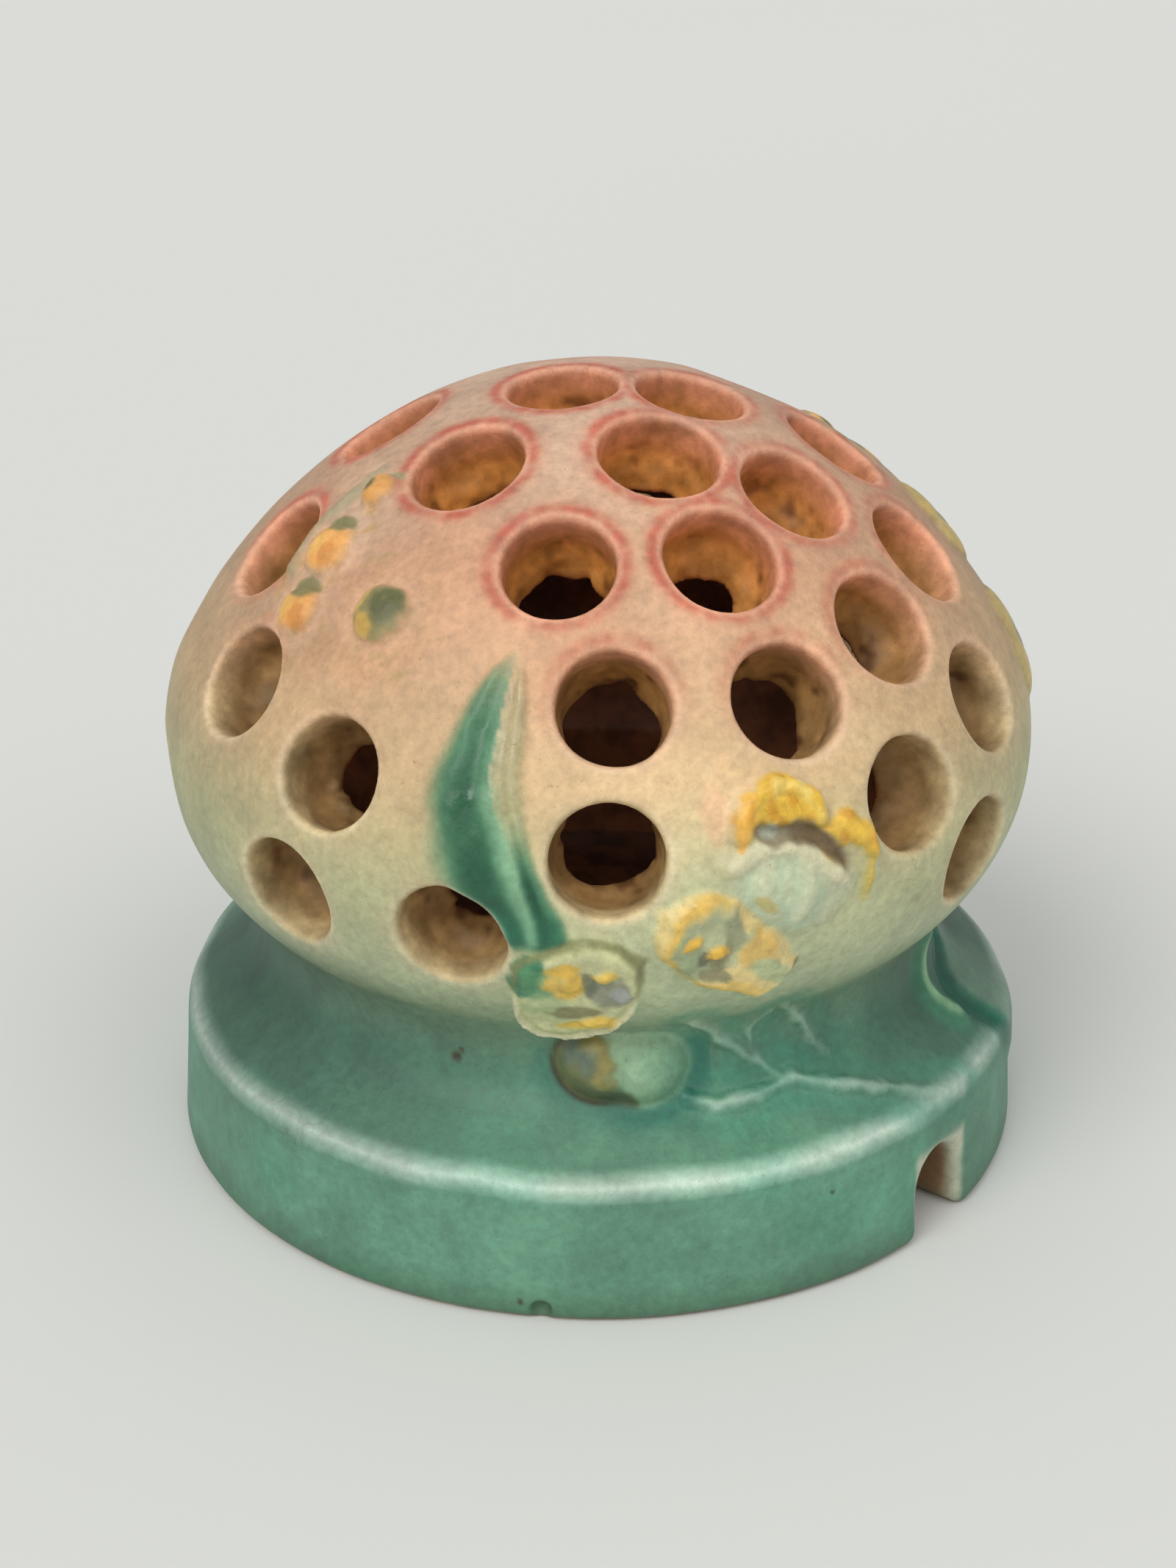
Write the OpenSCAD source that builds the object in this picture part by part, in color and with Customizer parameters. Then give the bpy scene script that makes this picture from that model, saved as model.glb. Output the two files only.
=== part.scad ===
// Flower frog: a hollow pierced dome on a flared round foot, with raised foxglove sprays.
// Up is +Z, the front is -Y, and the origin is the middle of the foot's underside.
// An azimuth is counted from the front towards +X. A polar angle is the lean of the
// surface's outward normal from straight up, so 0 is the crown and 90 the widest ring.

/* [Dome] */
// Height of the crown above the table
dome_top = 94.5; // [94:0.5:96]
// Radius of the arc over the crown
crown_r = 49.5; // [49:0.5:50]
// Radius of the long arc down the flank
flank_r = 66; // [65.5:0.5:66.5]
// Radius of the tight arc round the widest ring
waist_r = 24.5; // [24:0.5:25]
// Radius of the arc that tucks in below the widest ring
tuck_r = 25; // [24.5:0.5:25.5]
// Thickness of the fired wall of the dome
wall_t = 9.5; // [8:0.5:10]

/* [Stem holes] */
// Diameter of every stem hole
hole_d = 12.6; // [11:0.1:13]

/* [Foot] */
// Radius of the foot at the table
foot_r = 52.8; // [52:0.2:53.4]
// Radius of the foot's wall just under its shoulder
foot_wall_r = 51.8; // [51:0.2:52.4]
// Height of the centre of the shoulder's rounding
shoulder_z = 15.2; // [14:0.2:16]
// Radius of the shoulder's rounding
shoulder_r = 2.6; // [1.6:0.2:3]
// Radius of the hollow curve between dome and foot
cove_r = 7.5; // [7:0.1:8]
// Radius of the opening between the dome's hollow and the foot's
throat_r = 33; // [30:0.5:34]
// Radius of the hollow under the foot
recess_r = 44; // [42:0.5:45]
// Height of the straight part of the hollow under the foot
recess_h = 9; // [7:0.5:10]
// Width of the water notch in the foot's wall
notch_w = 8; // [6:0.5:9]
// Height of the water notch's arch
notch_h = 10.5; // [9:0.5:11]
// Azimuth of the water notch
notch_az = 50.5; // [45:0.5:56]

/* [Relief] */
// How far the leaves stand proud of the glaze
leaf_h = 1.6; // [1:0.1:2]
// How far the blossoms stand proud of the glaze
petal_h = 1.8; // [1:0.1:2.2]
// How far the stems and veins stand proud of the glaze
stem_h = 1.2; // [0.8:0.1:1.6]

/* [Hidden] */
$fn = 240;
// Polar angles where one arc of the dome's outline hands over to the next
ARC_ENDS = [0, 30, 60, 100, 137];
ARC_R = [crown_r, flank_r, waist_r, tuck_r];
// A length that reaches past everything
FAR = 200;
// Overlap that keeps cuts clean
EPS = 0.5;
// Degrees between one flat of a curved outline and the next
STEP = 4;
// How far the back's holes and sprays are turned round from the front's
BACK = 170;

// Holes of the front face, which the back face repeats: [azimuth, polar]
FACE_HOLES = [
    [21, 22.5], [-41, 27], [52, 33], [-8, 38], [24, 38], [49, 49], [2, 52], [27, 53],
    [-58, 57], [63, 60], [-36, 64], [42, 73], [1, 77], [56, 100], [-42, 101], [-18, 101]
];
// Holes of the crown and the two sides
CROWN_HOLES = [[-54, 6], [74, 13], [90, 33], [-95, 30]];
SIDE_HOLES = [[72, 45], [-74, 45], [-97, 64], [-80, 101], [100, 101]];

// Place a polar angle's direction in the half-plane of the outline
function lean(polar) = [sin(polar), cos(polar)];
// Centre of each arc of the outline, from the crown down
function arc_centre(i) =
    i == 0 ? [0, dome_top - ARC_R[0]]
    : arc_centre(i - 1) + (ARC_R[i - 1] - ARC_R[i]) * lean(ARC_ENDS[i]);
// Arc that a polar angle lies on
function arc_of(polar) = polar <= ARC_ENDS[1] ? 0 : polar <= ARC_ENDS[2] ? 1
    : polar <= ARC_ENDS[3] ? 2 : 3;
// Point of the outline at a polar angle, grown outwards by extra
function dome_point(polar, extra = 0) =
    let (i = arc_of(polar)) arc_centre(i) + (ARC_R[i] + extra) * lean(polar);

TUCK_END = ARC_ENDS[4];
COVE = dome_point(TUCK_END) + cove_r * lean(TUCK_END);
WAIST_Z = COVE[1];
SHOULDER = [foot_wall_r - shoulder_r, shoulder_z];
COVE_TO_SHOULDER = COVE - SHOULDER;
DECK_SLOPE = acos((shoulder_r + cove_r) / norm(COVE_TO_SHOULDER))
    + atan2(COVE_TO_SHOULDER[0], COVE_TO_SHOULDER[1]);

// Outline of the dome down to the waist, grown outwards by extra
module dome_outline(extra = 0) {
    polygon(concat([[0, WAIST_Z]],
        [for (a = [90:STEP:TUCK_END]) COVE - (cove_r - extra) * lean(a)],
        [for (a = [TUCK_END:-STEP:0]) dome_point(a, extra)], [[0, dome_top + extra]]));
}

// Outline of the dome's hollow, down to the throat
module hollow_outline() {
    tuck = dome_point(TUCK_END, -wall_t);
    polygon(concat([[0, WAIST_Z - EPS], [throat_r, WAIST_Z - EPS],
        [throat_r, tuck[1] - tuck[0] + throat_r]],
        [for (a = [TUCK_END:-STEP:0]) dome_point(a, -wall_t)], [[0, dome_top - wall_t]]));
}

// Outline of the foot up to the waist, grown outwards by extra
module foot_outline(extra = 0) {
    polygon(concat([[0, 0], [foot_r + extra, 0]],
        [for (a = [90:-8:DECK_SLOPE]) SHOULDER + (shoulder_r + extra) * lean(a)],
        [for (a = [DECK_SLOPE:STEP:90]) COVE - (cove_r - extra) * lean(a)],
        [[COVE[0] - cove_r + extra, WAIST_Z], [0, WAIST_Z]]));
}

// Put children on the dome's surface, with +Z outwards and +Y up the dome
module on_dome(azimuth, polar) {
    p = dome_point(polar);
    rotate([0, 0, azimuth]) translate([0, -p[0], p[1]]) rotate([polar, 0, 0]) children();
}

// Put children on the foot's cove or deck, where its normal leans by an angle
module on_cove(azimuth, angle) {
    p = COVE - cove_r * lean(angle);
    rotate([0, 0, azimuth]) translate([0, -p[0], p[1]]) rotate([angle, 0, 0]) children();
}

// One stem hole, drilled square to the surface
module stem_hole(azimuth, polar, margin = 0) {
    on_dome(azimuth, polar) translate([0, 0, -wall_t - 6])
        cylinder(d = hole_d + 2 * margin, h = wall_t + 16);
}

module stem_holes() {
    for (turn = [0, BACK], h = FACE_HOLES) stem_hole(h[0] + turn, h[1]);
    for (h = CROWN_HOLES) stem_hole(h[0], h[1]);
    for (h = SIDE_HOLES) stem_hole(h[0], h[1]);
}

module solid_dome(extra = 0) { rotate_extrude() dome_outline(extra); }
module solid_foot(extra = 0) { rotate_extrude() foot_outline(extra); }

// Relief of even height that follows the dome, cut to the flat shape of its children
module raised_on_dome(azimuth, polar, height) {
    difference() {
        intersection() {
            solid_dome(height);
            on_dome(azimuth, polar) translate([0, 0, -8]) linear_extrude(16) children();
        }
        solid_dome();
    }
}

// Relief of even height that follows the foot, cut to the flat shape of its children
module raised_on_foot(azimuth, angle, height) {
    difference() {
        intersection() {
            solid_foot(height);
            on_cove(azimuth, angle) translate([0, 0, -9]) linear_extrude(20) children();
        }
        solid_foot();
    }
}

// Radius of the arc that bulges by an amount over a chord
function arc_over(chord, bulge) = (chord * chord / 4 + bulge * bulge) / (2 * bulge);

// Pointed blade along Y, between two arcs that bulge by left and right
module blade(length, left, right) {
    left_r = arc_over(length, left);
    right_r = arc_over(length, right);
    intersection() {
        translate([left_r - left, 0]) circle(left_r);
        translate([right - right_r, 0]) circle(right_r);
    }
}

// Curved ridge of even width: part of a flat ring, from one angle to another
module ridge(radius, width, from, to) {
    mid = (from + to) / 2;
    reach = 2 * radius;
    intersection() {
        difference() {
            circle(radius + width / 2);
            circle(radius - width / 2);
        }
        polygon([[0, 0], reach * [cos(from), sin(from)], reach * [cos(mid), sin(mid)],
            reach * [cos(to), sin(to)]]);
    }
}

module pierced_dome() {
    color([0.85, 0.70, 0.58])
        difference() {
            solid_dome();
            rotate_extrude() hollow_outline();
            stem_holes();
        }
}

module water_notch() {
    rotate([0, 0, notch_az]) {
        translate([0, 0, notch_h - notch_w / 2]) rotate([90, 0, 0])
            cylinder(d = notch_w, h = foot_r + 5);
        translate([-notch_w / 2, -foot_r - 5, -EPS])
            cube([notch_w, foot_r + 5, notch_h - notch_w / 2 + EPS]);
    }
}

module drum_foot() {
    rise = recess_r - throat_r;
    color([0.36, 0.56, 0.47])
        difference() {
            solid_foot();
            rotate_extrude()
                polygon([[0, -EPS], [recess_r, -EPS], [recess_r, recess_h],
                    [throat_r, recess_h + rise], [throat_r, WAIST_Z + EPS], [0, WAIST_Z + EPS]]);
            water_notch();
        }
}

// The stem hole beside its foot is drilled through the leaf's edge
module leaf(turn) {
    color([0.20, 0.46, 0.36])
        difference() {
            raised_on_dome(turn - 13.5, 72, leaf_h)
                translate([2.7, 2.8]) rotate(5) blade(32.5, 7.6, 1.8);
            stem_hole(turn - 18, 101, 0.8);
        }
}

// Flat shape of the drooping bell: a body, a hood and a right-hand lip
module bell_shape() {
    translate([-1.5, -3]) circle(6.2);
    translate([3.5, -6]) circle(3.8);
    translate([1.5, 1.5]) circle(5);
    translate([-3.5, 4]) circle(3.4);
    translate([0.5, 5.6]) circle(3.4);
    translate([5.6, 3]) circle(3.4);
    translate([8, -0.5]) circle(2.2);
}

module bell_blossom(turn) {
    color([0.88, 0.80, 0.55]) raised_on_dome(turn + 23, 82, petal_h) bell_shape();
}

// Its upper right petals are tucked behind the bell
module open_blossom(turn) {
    color([0.90, 0.76, 0.40])
        difference() {
            raised_on_dome(turn + 14.5, 106, petal_h) {
                translate([-4, 1.5]) circle(3.8);
                translate([0, 4.5]) circle(3.6);
                translate([5, -2]) circle(3.4);
                translate([0.5, -3]) circle(4);
            }
            on_dome(turn + 23, 82) translate([0, 0, -8]) linear_extrude(16) bell_shape();
        }
}

module oval_blossom(turn) {
    color([0.86, 0.74, 0.40])
        raised_on_dome(turn - 2.5, 113, petal_h) {
            translate([-2, 0]) circle(4.6);
            translate([1.8, 0.3]) circle(4.4);
            translate([0.3, -1.3]) circle(4.4);
        }
}

// A rounded bud: a ball sunk into the surface
module ball_bud(turn, azimuth, polar, radius, height) {
    difference() {
        on_dome(turn + azimuth, polar) translate([0, 0, height - radius]) sphere(radius);
        solid_dome();
    }
}

module upper_bud(turn) { color([0.90, 0.65, 0.40]) ball_bud(turn, -56.5, 34, 3.2, petal_h); }
module middle_bud(turn) { color([0.90, 0.66, 0.38]) ball_bud(turn, -55.6, 41.8, 4.8, petal_h); }
module lower_bud(turn) { color([0.90, 0.66, 0.38]) ball_bud(turn, -52.7, 48.2, 4.4, petal_h); }
module side_bud(turn) { color([0.50, 0.50, 0.33]) ball_bud(turn, -36.8, 46, 5.5, petal_h); }

module spray_stem(turn) {
    color([0.62, 0.62, 0.50])
        raised_on_dome(turn - 62, 39, stem_h) translate([29, 0]) ridge(30, 1.6, 165, 195);
}

module foot_bud(turn) {
    color([0.55, 0.64, 0.50])
        difference() {
            rotate([0, 0, turn + 3.2]) {
                translate([-1.6, -40.6, WAIST_Z]) sphere(5.2);
                translate([2.2, -40.2, WAIST_Z - 0.6]) sphere(5.4);
            }
            solid_dome();
            solid_foot();
        }
}

// Ribs of the leaf that is spread over the foot
module foot_veins(turn) {
    color([0.62, 0.78, 0.70])
        raised_on_foot(turn + 33, 45, stem_h) {
            translate([-28.3, -96.1]) ridge(100, 1.8, 63.5, 82);
            translate([2.4, 1.6]) rotate(25) blade(8.4, 0.9, 0.9);
            translate([-5.6, 3]) rotate(40) blade(8.6, 0.9, 0.9);
        }
}

module curled_stem(turn) {
    color([0.45, 0.66, 0.52])
        raised_on_foot(turn + 69, 50, stem_h)
            translate([9.5, 3]) ridge(12, 3.2, 150, 252);
}

// Two blossoms on the right flank, half hidden from the front
module flank_blossom(azimuth, polar, radius) {
    color([0.74, 0.68, 0.42])
        raised_on_dome(azimuth, polar, petal_h) {
            translate([0, 0.35 * radius]) circle(0.7 * radius);
            translate([-0.4 * radius, -0.3 * radius]) circle(0.65 * radius);
            translate([0.4 * radius, -0.3 * radius]) circle(0.65 * radius);
        }
}

pierced_dome();
drum_foot();
leaf(0);  // front_leaf
bell_blossom(0);  // front_bell_blossom
open_blossom(0);  // front_open_blossom
oval_blossom(0);  // front_oval_blossom
foot_bud(0);  // front_foot_bud
spray_stem(0);  // front_spray_stem
upper_bud(0);  // front_upper_bud
middle_bud(0);  // front_middle_bud
lower_bud(0);  // front_lower_bud
side_bud(0);  // front_side_bud
foot_veins(0);  // front_foot_veins
curled_stem(0);  // front_curled_stem
leaf(BACK);  // back_leaf
bell_blossom(BACK);  // back_bell_blossom
open_blossom(BACK);  // back_open_blossom
oval_blossom(BACK);  // back_oval_blossom
foot_bud(BACK);  // back_foot_bud
spray_stem(BACK);  // back_spray_stem
upper_bud(BACK);  // back_upper_bud
middle_bud(BACK);  // back_middle_bud
lower_bud(BACK);  // back_lower_bud
side_bud(BACK);  // back_side_bud
foot_veins(BACK);  // back_foot_veins
curled_stem(BACK);  // back_curled_stem
flank_blossom(97, 48, 6);  // flank_upper_blossom
flank_blossom(89, 64, 7);  // flank_lower_blossom
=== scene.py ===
"""Looks for the flower frog: one continuous glazed skin, cut into a piece for each CAD node.

The skin is the zero surface of a distance field, built on a grid in millimetres from the same
outline and holes as the CAD part, with rounded lips, ragged hole ends and soft relief. Upright is
+Z and the front is -Y. A place on the outside is given as azimuth (degrees from the front towards
+X) and run (millimetres along the outline from the crown down).
"""

import math

import bpy
import numpy as np
import openvdb
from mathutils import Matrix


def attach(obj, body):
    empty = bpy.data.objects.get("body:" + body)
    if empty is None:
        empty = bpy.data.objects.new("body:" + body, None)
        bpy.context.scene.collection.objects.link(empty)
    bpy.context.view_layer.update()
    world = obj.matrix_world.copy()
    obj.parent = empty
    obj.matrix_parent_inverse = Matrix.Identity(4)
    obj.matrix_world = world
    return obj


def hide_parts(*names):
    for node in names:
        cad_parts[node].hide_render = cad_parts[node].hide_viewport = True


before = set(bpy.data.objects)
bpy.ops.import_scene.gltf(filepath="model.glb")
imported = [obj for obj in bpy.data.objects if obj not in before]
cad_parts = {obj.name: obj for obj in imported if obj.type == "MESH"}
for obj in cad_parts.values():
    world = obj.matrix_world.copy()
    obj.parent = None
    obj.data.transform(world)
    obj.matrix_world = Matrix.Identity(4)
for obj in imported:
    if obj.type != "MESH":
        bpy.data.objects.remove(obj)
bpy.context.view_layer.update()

MM = 0.001
VOXEL = 0.4
BACK_TURN = 170

# ---------------------------------------------------------------- outline, as in the CAD part
TOP, WALL = 94.5, 9.5
ENDS = [0, 30, 60, 100, 137]
RADII = [49.5, 66, 24.5, 25]
COVE, COVE_R = np.array([49.36, 27.78]), 7.5
SHOULDER, SHOULDER_R = np.array([49.2, 15.2]), 2.6
DECK = 37.0
FOOT_R, RECESS_R, THROAT_R = 52.75, 44.0, 33.0
HOLE_R = 6.3


def lean(polar):
    a = np.radians(polar)
    return np.stack([np.sin(a), np.cos(a)], -1)


CENTRES = [np.array([0.0, TOP - RADII[0]])]
for i in range(1, 4):
    CENTRES.append(CENTRES[-1] + (RADII[i - 1] - RADII[i]) * lean(ENDS[i]))
CENTRES = np.array(CENTRES)
RADII = np.array(RADII, float)


def dome_point(polar, extra=0.0):
    """Points (r, z) of the outline, grown outwards by extra, at polar angles of its normal."""
    polar = np.asarray(polar, float)
    i = np.clip(np.searchsorted(ENDS[1:4], polar), 0, 3)
    return CENTRES[i] + (RADII[i] + extra)[..., None] * lean(polar)


def arc(centre, radius, start, stop):
    n = max(int(abs(stop - start) * math.radians(radius) / 0.3), 6)
    return centre + radius * lean(np.linspace(start, stop, n))


def dense(points, step=0.3):
    """The same line with points at least every step millimetres."""
    out = [points[:1]]
    for a, b in zip(points[:-1], points[1:]):
        n = max(int(np.linalg.norm(b - a) / step), 1)
        out.append(a + (b - a) * (np.arange(1, n + 1) / n)[:, None])
    return np.concatenate(out)


outer = dense(np.concatenate([
    dome_point(np.arange(0, 137.1, 0.25)),
    COVE - COVE_R * lean(np.arange(136, DECK, -2)),
    arc(SHOULDER, SHOULDER_R, DECK, 89),
    arc(np.array([FOOT_R - 1.4, 1.4]), 1.4, 91, 180),
]))
RUN = np.concatenate([[0], np.cumsum(np.linalg.norm(np.diff(outer, axis=0), axis=1))])
RUN_END = RUN[-1]
tuck = dome_point(137, -WALL)
inner = dense(np.concatenate([
    arc(np.array([RECESS_R + 1.2, 1.2]), 1.2, 180, 270),
    np.array([[RECESS_R, 9.0], [THROAT_R, 20.0], [THROAT_R, tuck[1] - tuck[0] + THROAT_R]]),
    dome_point(np.arange(137, -0.1, -1.0), -WALL),
]))
section = np.concatenate([outer, inner])


def run_at_polar(polar):
    """Run at polar angles of the dome."""
    p = np.clip(np.asarray(polar, float), 0, 137)
    starts = np.concatenate([[0], np.cumsum(np.radians(np.diff(ENDS)) * RADII)])
    i = np.clip(np.searchsorted(ENDS[1:4], p), 0, 3)
    return starts[i] + np.radians(p - np.array(ENDS)[i]) * RADII[i]


LOW = RUN > run_at_polar(60)


def run_at_z(z):
    """Run at heights below the dome's flank, where the outline only goes down."""
    return np.interp(-np.asarray(z, float), -outer[LOW, 1], RUN[LOW])


def signed_table(line, r_axis, z_axis):
    """Signed distance to a closed line, negative inside, over a grid of (r, z)."""
    r, z = np.meshgrid(r_axis, z_axis, indexing="ij")
    p = np.stack([r.ravel(), z.ravel()], 1)
    a, b = line, np.roll(line, -1, axis=0)
    best = np.full(len(p), 1e9)
    inside = np.zeros(len(p), bool)
    for a0, b0 in zip(a, b):
        e = b0 - a0
        w = p - a0
        t = np.clip((w @ e) / max(e @ e, 1e-12), 0, 1)
        q = w - t[:, None] * e
        best = np.minimum(best, (q * q).sum(1))
        if a0[1] != b0[1]:
            cross = (a0[1] > p[:, 1]) != (b0[1] > p[:, 1])
            at = a0[0] + (p[:, 1] - a0[1]) * e[0] / e[1]
            inside ^= cross & (p[:, 0] < at)
    return np.where(inside, -1, 1).reshape(r.shape) * np.sqrt(best).reshape(r.shape)


CELL = 0.5
r_axis = np.arange(0, 60, CELL)
z_axis = np.arange(-3, 99, CELL)
closed = np.concatenate([section, [[0, TOP - WALL]]])
wall_table = signed_table(closed[::2], r_axis, z_axis)
solid_table = signed_table(np.concatenate([outer[::2], [[0, 0]], [[0, TOP]]]), r_axis, z_axis)
grid_rz = np.stack(np.meshgrid(r_axis, z_axis, indexing="ij"), -1).reshape(-1, 2)
nearest = np.empty(len(grid_rz), int)
for k in range(0, len(grid_rz), 4000):
    gap = ((grid_rz[k:k + 4000, None] - outer[None]) ** 2).sum(-1)
    nearest[k:k + 4000] = gap.argmin(1)
run_table = RUN[nearest].reshape(wall_table.shape)


def bilinear(table, x, y):
    """Samples of a table at fractional places, held at its edges."""
    x = np.clip(x, 0, table.shape[0] - 1.001)
    y = np.clip(y, 0, table.shape[1] - 1.001)
    i, j = x.astype(np.int32), y.astype(np.int32)
    fx, fy = x - i, y - j
    if table.ndim == 3:
        fx, fy = fx[..., None], fy[..., None]
    return (table[i, j] * (1 - fx) * (1 - fy) + table[i + 1, j] * fx * (1 - fy)
            + table[i, j + 1] * (1 - fx) * fy + table[i + 1, j + 1] * fx * fy)


def in_section(table, r, z):
    return bilinear(table, r / CELL, (z - z_axis[0]) / CELL)


# ---------------------------------------------------------------- small helpers
def smooth(x, a, b):
    """0 at a, 1 at b, with soft ends."""
    t = np.clip((np.asarray(x, float) - a) / (b - a), 0, 1)
    return t * t * (3 - 2 * t)


def mix(a, b, t):
    t = np.asarray(t)[..., None]
    return np.asarray(a, float) * (1 - t) + np.asarray(b, float) * t


def smooth_max(a, b, k):
    h = np.maximum(k - np.abs(a - b), 0)
    return np.maximum(a, b) + h * h / (4 * k)


def smooth_min(a, b, k):
    return -smooth_max(-a, -b, k)


def noise(p, size, seed):
    """Value noise from -1 to 1 with blobs of about size millimetres."""
    lattice = np.random.RandomState(seed).rand(24, 24, 24).astype(np.float32) * 2 - 1
    q = np.asarray(p) / size + 100.0
    i = np.floor(q).astype(np.int64)
    f = q - i
    f = f * f * (3 - 2 * f)
    i %= 24
    j = (i + 1) % 24
    out = 0
    for dx in (0, 1):
        for dy in (0, 1):
            for dz in (0, 1):
                x = j[..., 0] if dx else i[..., 0]
                y = j[..., 1] if dy else i[..., 1]
                z = j[..., 2] if dz else i[..., 2]
                w = ((f[..., 0] if dx else 1 - f[..., 0]) * (f[..., 1] if dy else 1 - f[..., 1])
                     * (f[..., 2] if dz else 1 - f[..., 2]))
                out = out + w * lattice[x, y, z]
    return out


def rgb(r, g, b):
    return np.array([r, g, b], float) / 255


def wrap(degrees):
    return (np.asarray(degrees) + 180) % 360 - 180


# ---------------------------------------------------------------- stem holes
# azimuth, polar, size, and how far torn clay closes the inner end (mm)
FACE_HOLES = [
    (21, 22.5, 1.06, 2.4), (-41, 27, 1.03, 2.2), (52, 33, 1.0, 2.4), (-8, 38, 0.97, 1.7),
    (24, 38, 1.0, 2.9), (49, 49, 1.02, 3.0), (2, 52, 0.97, 1.4), (27, 53, 1.0, 1.2),
    (-58, 57, 1.0, 2.6), (63, 60, 1.0, 2.4), (-36, 64, 0.98, 2.0), (42, 73, 1.0, 3.0),
    (1, 77, 0.98, 1.2), (56, 100, 1.0, 2.6), (-42, 101, 1.0, 2.4), (-18, 101, 0.97, 2.8),
]
OTHER_HOLES = [
    (-54, 6, 1.0, 2.2), (74, 13, 1.0, 2.2), (90, 33, 1.0, 2.0), (-95, 30, 1.0, 2.0),
    (72, 45, 1.03, 2.4), (-74, 45, 1.02, 2.4), (-97, 64, 1.0, 2.0), (-80, 101, 1.0, 2.2),
    (100, 101, 1.0, 2.2),
]
HOLES = FACE_HOLES + [(a + BACK_TURN, p, s, torn + 1.2) for a, p, s, torn in FACE_HOLES] + OTHER_HOLES


def place(azimuth, rz):
    a = np.radians(azimuth)
    return np.stack([rz[..., 0] * np.sin(a), -rz[..., 0] * np.cos(a), rz[..., 1]], -1)


def from_hole(p, azimuth, polar):
    """How far out from the surface along a hole's axis points are, and how far off that axis."""
    w, way = p - place(azimuth, dome_point(polar)), place(azimuth, lean(polar))
    out = w @ way
    return out, np.sqrt(np.maximum((w * w).sum(-1) - out * out, 0))


# ---------------------------------------------------------------- the painted and raised map
STEP = 0.25
columns = np.arange(-180, 180, STEP)
rows = np.arange(0, RUN_END, STEP)
row_rz = np.stack([np.interp(rows, RUN, outer[:, 0]), np.interp(rows, RUN, outer[:, 1])], -1)
map_az, map_run = np.meshgrid(columns, rows)
map_r = np.repeat(row_rz[:, :1], len(columns), 1)
map_point = place(map_az, np.repeat(row_rz[:, None, :], len(columns), 1))
height = np.zeros(map_az.shape)
paint = np.zeros(map_az.shape + (3,))
cover = np.zeros(map_az.shape)
owner = np.zeros(map_az.shape, int)
shine = np.zeros(map_az.shape)

PARTS = ["leaf", "bell_blossom", "open_blossom", "oval_blossom", "foot_bud", "spray_stem",
         "upper_bud", "middle_bud", "lower_bud", "side_bud", "foot_veins", "curled_stem"]
LABEL = {name: i + 1 for i, name in enumerate(PARTS)}

YELLOW = rgb(240, 194, 70)
LEAF_DARK = rgb(28, 84, 58)
LEAF_MID = rgb(70, 130, 96)


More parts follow.
